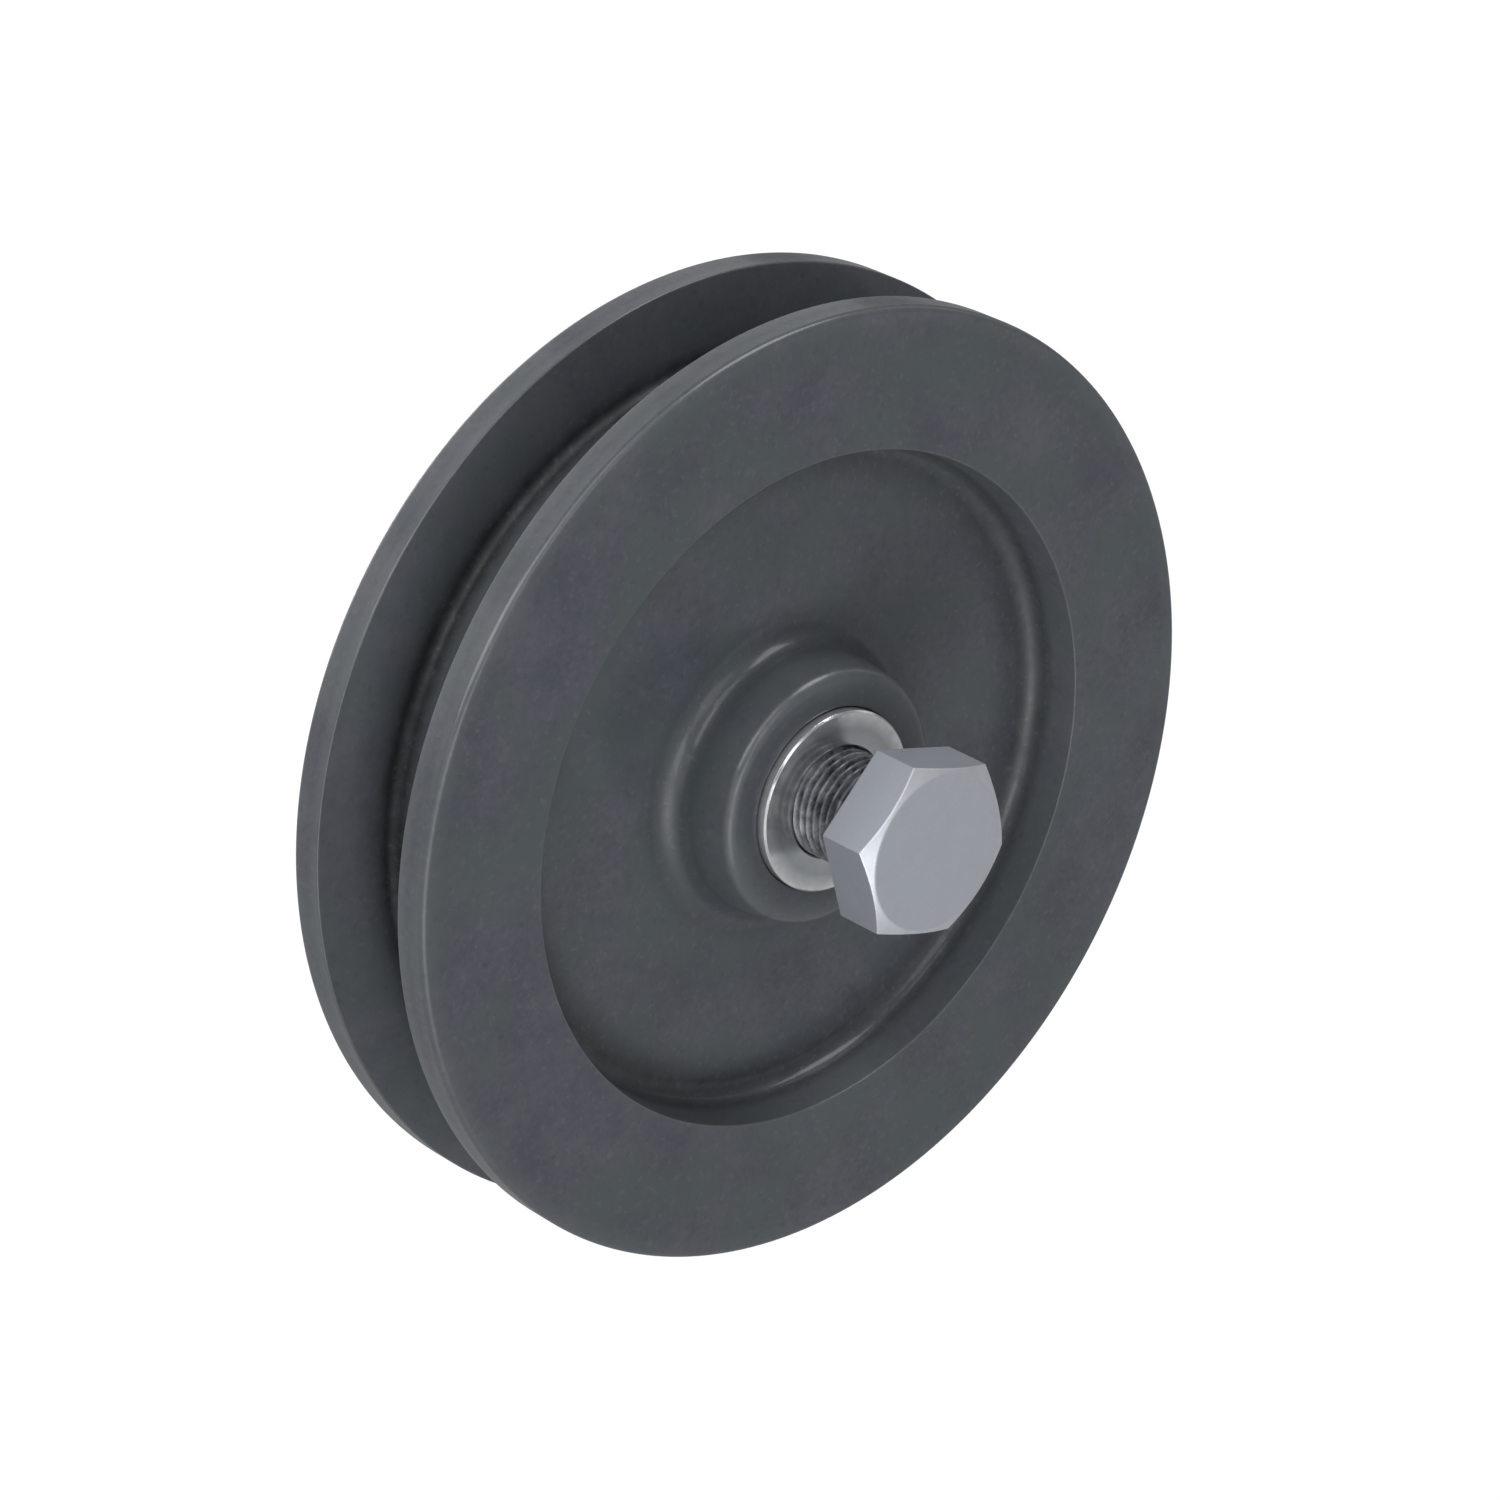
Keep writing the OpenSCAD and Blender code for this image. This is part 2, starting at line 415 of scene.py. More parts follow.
@dataclass
class TurnedSection:
    """A closed section whose corners are rounded, ready to be turned about the axle."""

    corners: list[Corner]
    arc_steps: int = 8
    support: float = 0.08
    flat_step: float = 1.5

    @classmethod
    def both_sides(cls, half: list[Corner], **settings: float) -> "TurnedSection":
        """Makes a whole section from the corners of its +Y side, clockwise, and other fields."""
        return cls(half + [corner.mirrored() for corner in reversed(half)], **settings)

    def rounded(self, i: int) -> Arc:
        """Rounds one corner of a clockwise outline.

        Args:
            i: The corner's number.

        Returns:
            The arc, from its start to its end.
        """
        corner = self.corners[i]
        here = corner.place()
        before = (self.corners[i - 1].place() - here).normalized()
        after = (self.corners[(i + 1) % len(self.corners)].place() - here).normalized()
        half = before.angle(after) / 2
        centre = here + (before + after).normalized() * (corner.edge / math.sin(half))
        start = here + before * (corner.edge / math.tan(half)) - centre
        end = here + after * (corner.edge / math.tan(half)) - centre
        sign = 1.0 if start.x * end.y > start.y * end.x else -1.0
        sweep = sign * start.angle(end)
        turns = [Matrix.Rotation(sweep * k / self.arc_steps, 2) for k in range(self.arc_steps + 1)]
        points = [centre + turn @ start for turn in turns]
        return Arc(corner, points, corner.takes_shade or before.x * after.y < before.y * after.x)

    def straight(self, start: Vector, end: Vector) -> list[Vector]:
        """Puts points on a straight stretch, close to its ends and evenly between.

        Args:
            start: The end of one arc.
            end: The start of the next.

        Returns:
            The points between them.
        """
        run = (end - start).length
        spare = min(self.support, run / 4) / run
        count = max(1, round(run / self.flat_step))
        return [start.lerp(end, spare + (1 - 2 * spare) * k / count) for k in range(count + 1)]

    def outline(self) -> tuple[list[Vector], list[float], list[Arc]]:
        """Walks round the whole section.

        Returns:
            The points in order, the first one again at the end, their places, and the arcs.
        """
        arcs = [self.rounded(i) for i in range(len(self.corners))]
        points: list[Vector] = []
        firsts = []
        for arc, following in zip(arcs, arcs[1:] + arcs[:1]):
            firsts.append(len(points))
            points += arc.points + self.straight(arc.points[-1], following.points[0])
        points.append(points[0])
        places = [0.0, *accumulate((b - a).length for a, b in zip(points, points[1:]))]
        for arc, first in zip(arcs, firsts):
            arc.start, arc.end = places[first], places[first + self.arc_steps]
        return points, places, arcs

    def mesh(self) -> Mesh:
        """Makes the outline a mesh of points.

        Returns:
            A mesh with the outline's points and its two attributes.
        """
        points, places, arcs = self.outline()
        mesh = bpy.data.meshes.new("section")
        mesh.from_pydata([(p.x * MM, p.y * MM, 0.0) for p in points], [], [])
        # The edge attribute holds wear and painted highlight, and the hollow one holds painted
        # shade.
        for attribute, hollow in ((EDGE, False), (HOLLOW, True)):
            chosen = [arc for arc in arcs if arc.hollow == hollow]
            layer = mesh.attributes.new(attribute, "FLOAT", "POINT")
            layer.data.foreach_set("value", [
                max((arc.spread(at % places[-1], places[-1]) for arc in chosen), default=0.0)
                for at in places
            ])
        return mesh


def leaning(run: float, degrees: float) -> float:
    """How far a wall that leans by an angle moves aside over a run."""
    return run * math.tan(math.radians(degrees))


def pointing_outwards(mesh: Mesh) -> Mesh:
    """Turns every face of a closed mesh outwards.

    Args:
        mesh: The mesh to change.

    Returns:
        The same mesh.
    """
    work = bmesh.new()
    work.from_mesh(mesh)
    bmesh.ops.recalc_face_normals(work, faces=work.faces)
    if work.calc_volume(signed=True) < 0:
        bmesh.ops.reverse_faces(work, faces=work.faces)
    work.to_mesh(mesh)
    work.free()
    return mesh


@dataclass
class Ring:
    """A ring of points about the axle, each as angle, radius and place along it, in millimetres."""

    points: list[tuple[float, float, float]]
    # Share of wear and painted highlight on the ring's points.
    rubbed: float = 0.0


@dataclass
class Hexagon:
    """A hexagon across the axle with chamfered corners, in millimetres."""

    across_flats: float = 18.0
    face_in: float = 0.4
    chamfer_slope: float = 27.0
    turn: float = 0.0
    corner_r: float = 0.12
    edge_r: float = 0.10
    support: float = 0.05
    ease_middle: float = 0.25
    ease_highlight: float = 0.8
    flat_steps: int = 14
    corner_steps: int = 4

    def columns(self) -> list[tuple[float, float]]:
        """Walks round the hexagon.

        Returns:
            Angle in radians and radius of each point of its outline.
        """
        flat = self.across_flats / 2
        tangent = math.atan(math.tan(math.pi / 6) * (1 - self.corner_r / flat))
        centre = (flat - self.corner_r) / math.cos(math.pi / 6)
        found = []
        for side in range(6):
            middle = math.radians(self.turn) + math.pi / 6 + side * math.pi / 3
            inner = 1 - self.support / (flat * math.tan(tangent))
            shares = [inner * (2 * k / self.flat_steps - 1) for k in range(self.flat_steps + 1)]
            for share in (-1.0, *shares, 1.0):
                lean = tangent * share
                found.append((middle + lean, flat / math.cos(lean)))
            for k in range(1, self.corner_steps):
                off = (math.pi / 6 - tangent) * (2 * k / self.corner_steps - 1)
                aside = centre * math.sin(off)
                reach = centre * math.cos(off) + math.sqrt(self.corner_r ** 2 - aside ** 2)
                found.append((middle + math.pi / 6 + off, reach))
        return found

    def face_r(self) -> float:
        """The radius of the round face that the chamfer leaves."""
        return self.across_flats / 2 - self.face_in

    def drop(self, r: float) -> float:
        """How far the chamfer has fallen at a radius."""
        return leaning(max(0.0, r - self.face_r()), self.chamfer_slope)

    def square_end(self, at: float, facing: float) -> list[Ring]:
        """The rings of an end that is left square, from its side to its face.

        Args:
            at: Where the end's face is along the axle.
            facing: 1 if the face looks along +Y, and -1 if along -Y.

        Returns:
            The rings in order.
        """
        steps = [(0.0, self.edge_r + self.support)]
        for bend in (0.0, math.pi / 4, math.pi / 2):
            steps.append((self.edge_r * (1 - math.cos(bend)), self.edge_r * (1 - math.sin(bend))))
        return [Ring([(a, r - inside, at - facing * back) for a, r in self.columns()])
                for inside, back in steps]

    def chamfered_end(self, at: float, facing: float) -> list[Ring]:
        """The rings of a chamfered end, from its side to its face.

        Args:
            at: Where the end's face is along the axle.
            facing: 1 if the face looks along +Y, and -1 if along -Y.

        Returns:
            The rings in order, with the chamfer marked for its painted highlight.
        """
        ease, middle = self.edge_r, self.ease_middle * self.edge_r
        rings = []
        # The third value of each step is its share of painted highlight; the chamfer rings below
        # carry it in full.
        steps = ((0.0, ease + self.support, 0.0), (0.0, ease, 0.0),
                 (middle, middle, self.ease_highlight), (ease, 0.0, 1.0),
                 (ease + self.support, 0.0, 1.0))
        for inside, extra, rubbed in steps:
            rings.append(Ring([(a, r - inside, at - facing * (self.drop(r - inside) + extra))
                               for a, r in self.columns()], rubbed))
        rim = self.face_r() + ease
        for r, rubbed in ((rim + self.support, 1.0), (rim, 1.0), (rim - 2 * ease, 0.0),
                          (rim - 2 * ease - self.support, 0.0)):
            level = at - facing * self.drop(r)
            rings.append(Ring([(a, r, level) for a, _ in self.columns()], rubbed))
        return rings


class RingMesh:
    """Builds a mesh from rings of points about the axle."""

    SHARP_OVER = 30.0

    def __init__(self, start: Mesh | None = None) -> None:
        """Starts the mesh.

        Args:
            start: A mesh to carry on from.
        """
        self.work = bmesh.new()
        if start is not None:
            self.work.from_mesh(start)
        layers = self.work.verts.layers.float
        self.rubbed = layers.get(EDGE) or layers.new(EDGE)

    def add(self, ring: Ring) -> list[bmesh.types.BMVert]:
        """Adds one ring.

        Args:
            ring: The ring.

        Returns:
            The ring's vertices.
        """
        made = []
        for angle, r, along in ring.points:
            x, z = r * math.cos(angle), r * math.sin(angle)
            vertex = self.work.verts.new((x * MM, along * MM, z * MM))
            vertex[self.rubbed] = ring.rubbed
            made.append(vertex)
        return made

    def join(self, first: list, second: list) -> None:
        """Joins two rings of the same count with four-sided faces."""
        for i in range(len(first)):
            self.work.faces.new((first[i - 1], first[i], second[i], second[i - 1]))

    def skin(self, rings: list[Ring]) -> list[list[bmesh.types.BMVert]]:
        """Adds rings and joins each to the next.

        Args:
            rings: The rings in order.

        Returns:
            The vertices of each ring.
        """
        made = [self.add(ring) for ring in rings]
        for first, second in zip(made, made[1:]):
            self.join(first, second)
        return made

    def finished(self, finish: Material) -> Mesh:
        """Closes the work and returns it as a mesh.

        Args:
            finish: The mesh's material.

        Returns:
            The mesh, with its faces outwards.
        """
        mesh = bpy.data.meshes.new("rings")
        self.work.to_mesh(mesh)
        self.work.free()
        pointing_outwards(mesh)
        mesh.shade_smooth()
        mesh.set_sharp_from_angle(angle=math.radians(self.SHARP_OVER))
        mesh.materials.append(finish)
        return mesh


class SharedEffects:
    """The shader node groups that several finishes use."""

    FINE_TIMES = 11.0
    BROAD_SHARE = 0.62
    PATCH_RANGE = (0.38, 0.62)
    HUE_SHIFT = (0.31, 0.17, 0.23)
    HUE_RANGE = (0.42, 0.62)
    PIT_TIMES = 0.45
    PIT_RANGE = (0.05, 0.30)
    SPECK_RANGE = (0.58, 0.72)
    BREAKUP_RANGE = (0.30, 0.65)
    LEAST_BREAKUP = 0.55
    WANDER_SCALE = 160.0

    def __init__(self) -> None:
        """Builds each group once."""
        self.mottle = self._mottle()
        self.grain = self._grain()
        self.wear_and_light = self._wear_and_light()
        self.turning = self._turning()

    def _mottle(self) -> NodeTree:
        """Broad, soft patches that vary a finish's colour and gloss.

        Returns:
            The group.
        """
        colours = [(name, Kind.COLOUR, WHITE) for name in ("Dark", "Light", "Tint")]
        wire, given, result = new_tree("Mottle", "ShaderNodeTree", colours + [
            ("Patch scale", Kind.FLOAT, 80.0), ("Tint share", Kind.FLOAT, 0.3),
        ], [("Colour", Kind.COLOUR), ("Patches", Kind.FLOAT)])
        place = wire.add("ShaderNodeTexCoord").outputs["Object"]
        scale = given.outputs["Patch scale"]
        fine_scale = wire.math("MULTIPLY", scale, self.FINE_TIMES)
        broad = wire.noise(place, scale, detail=4.0, roughness=0.6)
        fine = wire.noise(place, fine_scale, detail=3.0, roughness=0.65)
        patches = wire.math("ADD", wire.math("MULTIPLY", broad, self.BROAD_SHARE),
                            wire.math("MULTIPLY", fine, 1 - self.BROAD_SHARE))
        spread = wire.ramp(patches, *self.PATCH_RANGE)
        colour = wire.mix_colours(spread, given.outputs["Dark"], given.outputs["Light"])
        shifted = wire.add("ShaderNodeVectorMath", {0: place, 1: self.HUE_SHIFT},
                           operation="ADD").outputs[0]
        hue = wire.ramp(wire.noise(shifted, scale, detail=2.0), *self.HUE_RANGE)
        hue_share = wire.math("MULTIPLY", hue, given.outputs["Tint share"])
        wire.fill(result, {
            "Colour": wire.mix_colours(hue_share, colour, given.outputs["Tint"]), "Patches": spread,
        })
        return wire.tree

    def _grain(self) -> NodeTree:
        """The fine skin that sand or plating leaves, as a height.

        Returns:
            The group.
        """
        wire, given, result = new_tree("Skin grain", "ShaderNodeTree", [
            ("Grain scale", Kind.FLOAT, 1500.0), ("Pit share", Kind.FLOAT, 0.3),
        ], [("Height", Kind.FLOAT), ("Pits", Kind.FLOAT), ("Specks", Kind.FLOAT)])
        place = wire.add("ShaderNodeTexCoord").outputs["Object"]
        scale = given.outputs["Grain scale"]
        skin = wire.noise(place, scale, detail=3.0, roughness=0.6)
        cells = wire.add("ShaderNodeTexVoronoi", {
            "Vector": place, "Scale": wire.math("MULTIPLY", scale, self.PIT_TIMES),
        }).outputs["Distance"]
        pits = wire.ramp(cells, *self.PIT_RANGE, 1.0, 0.0, smooth=True)
        sunk = wire.math("MULTIPLY", pits, given.outputs["Pit share"])
        wire.fill(result, {
            "Height": wire.math("SUBTRACT", skin, sunk), "Pits": sunk,
            "Specks": wire.ramp(skin, *self.SPECK_RANGE),
        })
        return wire.tree

    def _wear_and_light(self) -> NodeTree:
        """Where edges get wear and a painted highlight, and hollows and shaded corners get painted
        shade.

        Returns:
            The group.
        """
        wire, given, result = new_tree("Painted light and wear", "ShaderNodeTree", [
            ("Rubbed", Kind.FLOAT, 0.3), ("Dirt", Kind.FLOAT, 0.3),
            ("Breakup scale", Kind.FLOAT, 400.0),
        ], [("Wear and highlight mask", Kind.FLOAT), ("Shade mask", Kind.FLOAT)])
        place = wire.add("ShaderNodeTexCoord").outputs["Object"]
        patchy = wire.noise(place, given.outputs["Breakup scale"], detail=4.0, roughness=0.6)
        broken = wire.ramp(patchy, *self.BREAKUP_RANGE, self.LEAST_BREAKUP, 1.0)
        # Edges get wear and a painted highlight, hollows and shaded corners get painted shade; one
        # noise breaks both up.
        for name, amount, output in ((EDGE, "Rubbed", "Wear and highlight mask"), (HOLLOW, "Dirt", "Shade mask")):
            share = wire.add("ShaderNodeAttribute", attribute_name=name).outputs["Fac"]
            full = wire.math("MULTIPLY", share, given.outputs[amount])
            wire.feed(result.inputs[output], wire.math("MULTIPLY", full, broken))
        return wire.tree

    def _turning(self) -> NodeTree:
        """The fine rings that a lathe leaves about the axle.

        Returns:
            The group.
        """
        wire, given, result = new_tree("Turning marks", "ShaderNodeTree", [
            ("Ring scale", Kind.FLOAT, 4000.0), ("Waver", Kind.FLOAT, 0.00002),
        ], [("Height", Kind.FLOAT)])
        place = wire.add("ShaderNodeTexCoord").outputs["Object"]
        x, y, z = wire.add("ShaderNodeSeparateXYZ", {0: place}).outputs
        flat = wire.add("ShaderNodeCombineXYZ", {0: x, 2: z}).outputs[0]
        out = wire.add("ShaderNodeVectorMath", {0: flat}, operation="LENGTH").outputs["Value"]
        slow = wire.noise(flat, self.WANDER_SCALE, detail=1.0)
        wander = wire.math("MULTIPLY", slow, given.outputs["Waver"])
        drift = wire.math("ADD", out, wander)
        rings = wire.add("ShaderNodeCombineXYZ", {0: drift, 1: y}).outputs[0]
        height = wire.noise(rings, given.outputs["Ring scale"], detail=2.0, roughness=0.7)
        wire.feed(result.inputs["Height"], height)
        return wire.tree


def blank_material(name: str) -> tuple[Material, Wiring, Node]:
    """Makes a material with one Principled shader.

    Args:
        name: The material's name.

    Returns:
        The material, its wiring and its shader.
    """
    material = bpy.data.materials.new(name)
    material.use_nodes = True
    material.node_tree.nodes.clear()
    wire = Wiring(material.node_tree)
    shader = wire.add("ShaderNodeBsdfPrincipled")
    wire.add("ShaderNodeOutputMaterial", {"Surface": shader.outputs[0]})
    return material, wire, shader


class Relief(Enum):
    """What gives a finish its fine relief."""

    GRAIN = "grain"
    RINGS = "rings"


@dataclass(frozen=True)
class Finish:
    """A mottled finish with wear and a painted highlight at its edges and painted shade in its
    hollows.
    """

    name: str
    relief: Relief
    relief_scale: float
    dark: Colour
    light: Colour
    tint: Colour
    bright_and_highlight: Colour
    soot_and_shade: Colour
    gloss_low: float
    gloss_high: float
    metal: float
    patch_scale: float
    breakup_scale: float
    dirt: float
    bump: float
    rubbed: float = 1.0
    tint_share: float = 0.5
    bump_depth: float = 0.00003
    ring_waver: float = 0.00003
    ring_range: tuple[float, float] = (0.35, 0.65)
    pit_share: float = 0.15
    pit_soot: float = 0.0
    speck_shine: float = 0.0
    rub_and_highlight_polish: float = 0.0
    shade_dulling: float = 0.0
    oil: float = 0.0
    oil_gloss: float = 0.14
    oil_fade: tuple[float, float] = (0.55, 0.75)

    def material(self, effects: SharedEffects) -> Material:
        """Builds the finish.

        Args:
            effects: The shared shader groups.

        Returns:
            The material.
        """
        material, wire, shader = blank_material(self.name)
        mottle = wire.group(effects.mottle, dark=self.dark, light=self.light, tint=self.tint,
                            patch_scale=self.patch_scale, tint_share=self.tint_share)
        wear_and_light = wire.group(effects.wear_and_light, rubbed=self.rubbed, dirt=self.dirt,
                          breakup_scale=self.breakup_scale)
        # Painted highlight and wear lighten the colour at edges, and painted shade darkens it in
        # hollows and creases.
        colour = wire.mix_colours(wear_and_light["Wear and highlight mask"], mottle["Colour"], self.bright_and_highlight)
        colour = wire.mix_colours(wear_and_light["Shade mask"], colour, self.soot_and_shade)
        if self.relief is Relief.RINGS:
            relief = wire.group(effects.turning, ring_scale=self.relief_scale,
                                waver=self.ring_waver)
            rough = wire.ramp(relief["Height"], *self.ring_range, self.gloss_low, self.gloss_high)
        else:
            relief = wire.group(effects.grain, grain_scale=self.relief_scale,
                                pit_share=self.pit_share)
            rough = wire.ramp(mottle["Patches"], 0.0, 1.0, self.gloss_high, self.gloss_low)
            pits = wire.math("MULTIPLY", relief["Pits"], self.pit_soot)
            specks = wire.math("MULTIPLY", relief["Specks"], self.speck_shine)
            colour = wire.mix_colours(pits, colour, self.soot_and_shade)
            colour = wire.mix_colours(specks, colour, self.bright_and_highlight)
        rough = wire.math("SUBTRACT", rough, wire.math("MULTIPLY", wear_and_light["Wear and highlight mask"], self.rub_and_highlight_polish))
        rough = wire.math("ADD", rough, wire.math("MULTIPLY", wear_and_light["Shade mask"], self.shade_dulling))
        bump = wire.add("ShaderNodeBump", {
            "Strength": self.bump, "Distance": self.bump_depth, "Height": relief["Height"],
        })
        wire.fill(shader, {"Base Color": colour, "Roughness": rough, "Metallic": self.metal,
                           "Normal": bump.outputs[0]})
        if self.oil:
            oil = wire.ramp(wear_and_light["Shade mask"], *self.oil_fade, self.oil, 0.0)
            wire.fill(shader, {"Coat Weight": oil, "Coat Roughness": self.oil_gloss})
        return material


# Dark blue-grey iron with the matt skin of a sand casting, painted light and shade at its corners,
# and a film of oil whose coat fades where shade is painted.
CAST_IRON = Finish(
    name="cast_iron", relief=Relief.GRAIN, relief_scale=1300.0, dark=(0.047, 0.052, 0.068, 1),
    light=(0.070, 0.077, 0.092, 1), tint=(0.056, 0.070, 0.074, 1), bright_and_highlight=(0.14, 0.145, 0.155, 1),
    soot_and_shade=(0.018, 0.020, 0.023, 1), gloss_low=0.36, gloss_high=0.44, metal=0.0, patch_scale=110.0,
    breakup_scale=420.0, dirt=0.9, bump=0.22, tint_share=0.8, bump_depth=0.00012, pit_share=0.35,
    pit_soot=0.5, speck_shine=0.25, rub_and_highlight_polish=0.12, shade_dulling=0.2, oil=0.45,
)

# Bright steel straight from a lathe, fine enough to mirror what stands over it, with a painted
# highlight on its chamfers.
TURNED_STEEL = Finish(
    name="turned_steel", relief=Relief.RINGS, relief_scale=5200.0, dark=(0.44, 0.472, 0.495, 1),
    light=(0.51, 0.545, 0.567, 1), tint=(0.495, 0.505, 0.513, 1), bright_and_highlight=(0.95, 0.96, 0.97, 1),
    soot_and_shade=(0.10, 0.10, 0.11, 1), gloss_low=0.12, gloss_high=0.20, metal=0.85, patch_scale=220.0,
    breakup_scale=600.0, dirt=0.4, bump=0.05,
)

# Bright zinc plate on the bolt and the nut, a little blue, with a painted highlight on the chamfers
# and thread crests and painted shade in the thread's roots.
ZINC_PLATE = Finish(
    name="zinc_plate", relief=Relief.GRAIN, relief_scale=5200.0, dark=(0.56, 0.585, 0.64, 1),
    light=(0.61, 0.635, 0.69, 1), tint=(0.57, 0.62, 0.69, 1), bright_and_highlight=(0.90, 0.92, 0.95, 1),
    soot_and_shade=(0.02, 0.02, 0.022, 1), gloss_low=0.46, gloss_high=0.52, metal=0.8, patch_scale=260.0,
    breakup_scale=700.0, dirt=0.95, bump=0.06, rubbed=0.4,
)


@dataclass
class Workshop:
    """The trees, groups and finishes that the pieces share."""

    turned: NodeTree = field(default_factory=turned_tree)
    thread: NodeTree = field(default_factory=thread_tree)
    effects: SharedEffects = field(default_factory=SharedEffects)
    iron: Material = field(init=False)
    bush_steel: Material = field(init=False)
    bolt_steel: Material = field(init=False)

    def __post_init__(self) -> None:
        """Mixes the finishes."""
        self.iron = CAST_IRON.material(self.effects)
        self.bush_steel = TURNED_STEEL.material(self.effects)
        self.bolt_steel = ZINC_PLATE.material(self.effects)

    def place(self, mesh: Mesh, name: str, node: str, body: Body, slot: Slot) -> None:
        """Puts a finished mesh in the scene in place of its CAD node.

        Args:
            mesh: The mesh, in the row frame.
            name: The piece's name.
            node: The CAD node that it stands for.
            body: The body that it rides on.
            slot: The record's slot that its finish comes from; not used.
        """
        piece = in_scene(name, mesh)
        mesh.name = name
        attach(piece, body.value)
        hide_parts(node)
        LOG.info("%s: %d faces on body %s", name, len(mesh.polygons), body.value)


@dataclass
class WheelCasting:
    """The grooved wheel, turned from its section, in millimetres."""

    rim_r: float = 52.5
    rim_half: float = 10.5
    rim_edge_r: float = 0.75
    groove_half: float = 6.5
    groove_depth: float = 9.5
    groove_draft: float = 2.0
    groove_lip_r: float = 0.2
    groove_corner_r: float = 1.0
    face_w: float = 15.2
    web_half: float = 4.4
    dish_draft: float = 6.0
    dish_lip_r: float = 0.15
    dish_foot_r: float = 2.0
    bore_r: float = 10.05
    hub_half: float = 12.4
    boss_wall: float = 4.0
    boss_draft: float = 7.0
    bore_edge_r: float = 0.4
    boss_edge_r: float = 1.2
    boss_foot_r: float = 3.0
    segments: int = 256

    def half_section(self) -> list[Corner]:
        """Works out one side of the section.

        Returns:
            Its corners, from the bore to the groove's floor.
        """
        dish_mouth = self.rim_r - self.face_w
        dish_foot = dish_mouth - leaning(self.rim_half - self.web_half, self.dish_draft)
        boss = self.bore_r + self.boss_wall
        boss_foot = boss + leaning(self.hub_half - self.web_half, self.boss_draft)
        floor_half = self.groove_half - leaning(self.groove_depth, self.groove_draft)
        floor_r = self.rim_r - self.groove_depth
        return [
            # Painted shade where the bush meets the hub's face.
            Corner(self.bore_r, self.hub_half, self.bore_edge_r, share=0.5, reach=(0.3, 0.8),
                   takes_shade=True),
            # Wear and painted highlight on the boss's edge, with painted light spread down its
            # side.
            Corner(boss, self.hub_half, self.boss_edge_r, share=0.3, reach=(0.3, 3.5)),
            # A little painted shade at the boss's foot.
            Corner(boss_foot, self.web_half, self.boss_foot_r, share=0.25, reach=(0.5, 0.5)),
            # Painted shade on the web just inside the dish's foot.
            Corner(dish_foot, self.web_half, self.dish_foot_r, share=0.7, reach=(2.5, 0.4)),
            # Painted light spread down the dish's wall from its lip.
            Corner(dish_mouth, self.rim_half, self.dish_lip_r, share=0.3, reach=(6.0, 0.05)),
            # Wear and a painted highlight along the rim's outer edge.
            Corner(self.rim_r, self.rim_half, self.rim_edge_r, share=0.2),
            # A little wear at the groove's lip, with painted light spread down its wall.
            Corner(self.rim_r, self.groove_half, self.groove_lip_r, share=0.35, reach=(0.3, 8.0)),
            # Painted shade in the groove's crease, strong enough to take the coat's gloss off
            # there.
            Corner(floor_r, floor_half, self.groove_corner_r, share=1.3, reach=(1.1, 0.7)),
        ]

    def build(self, shop: Workshop) -> Mesh:
        """Turns the casting.

        Args:
            shop: The shared trees and finishes.

        Returns:
            The casting's mesh.
        """
        section = TurnedSection.both_sides(self.half_section())
        values = {"Segments": self.segments, "Finish": shop.iron}
        return pointing_outwards(grown_mesh(section.mesh(), shop.turned, values))

    def dress(self, shop: Workshop) -> None:
        """Builds the casting and puts it on the wheel's body."""
        shop.place(self.build(shop), "wheel_casting", "wheel", Body.WHEEL, Slot.IRON)


@dataclass
class AxleBush:
    """The steel bush that the hub turns on, in millimetres."""

    outer_r: float = 10.0
    bore_r: float = 6.1
    half: float = 13.4
    chamfer: float = 0.2
    edge_r: float = 0.03
    segments: int = 192

    def build(self, shop: Workshop) -> Mesh:
        """Turns the bush.

        Args:
            shop: The shared trees and finishes.

        Returns:
            The bush's mesh.
        """
        half = [
            Corner(self.bore_r, self.half - self.chamfer, self.edge_r),
            Corner(self.bore_r + self.chamfer, self.half, self.edge_r),
            # Wear and painted highlight on the chamfers, strongest on the outer ones.
            Corner(self.outer_r - self.chamfer, self.half, self.edge_r, share=1.0),
            Corner(self.outer_r, self.half - self.chamfer, self.edge_r, share=1.0),
        ]
        section = TurnedSection.both_sides(half, arc_steps=4, support=0.04)
        values = {"Segments": self.segments, "Finish": shop.bush_steel}
        return pointing_outwards(grown_mesh(section.mesh(), shop.turned, values))

    def dress(self, shop: Workshop) -> None:
        """Builds the bush and puts it on the axle."""
        shop.place(self.build(shop), "axle_bush", "bush", Body.AXLE, Slot.BUSH_STEEL)


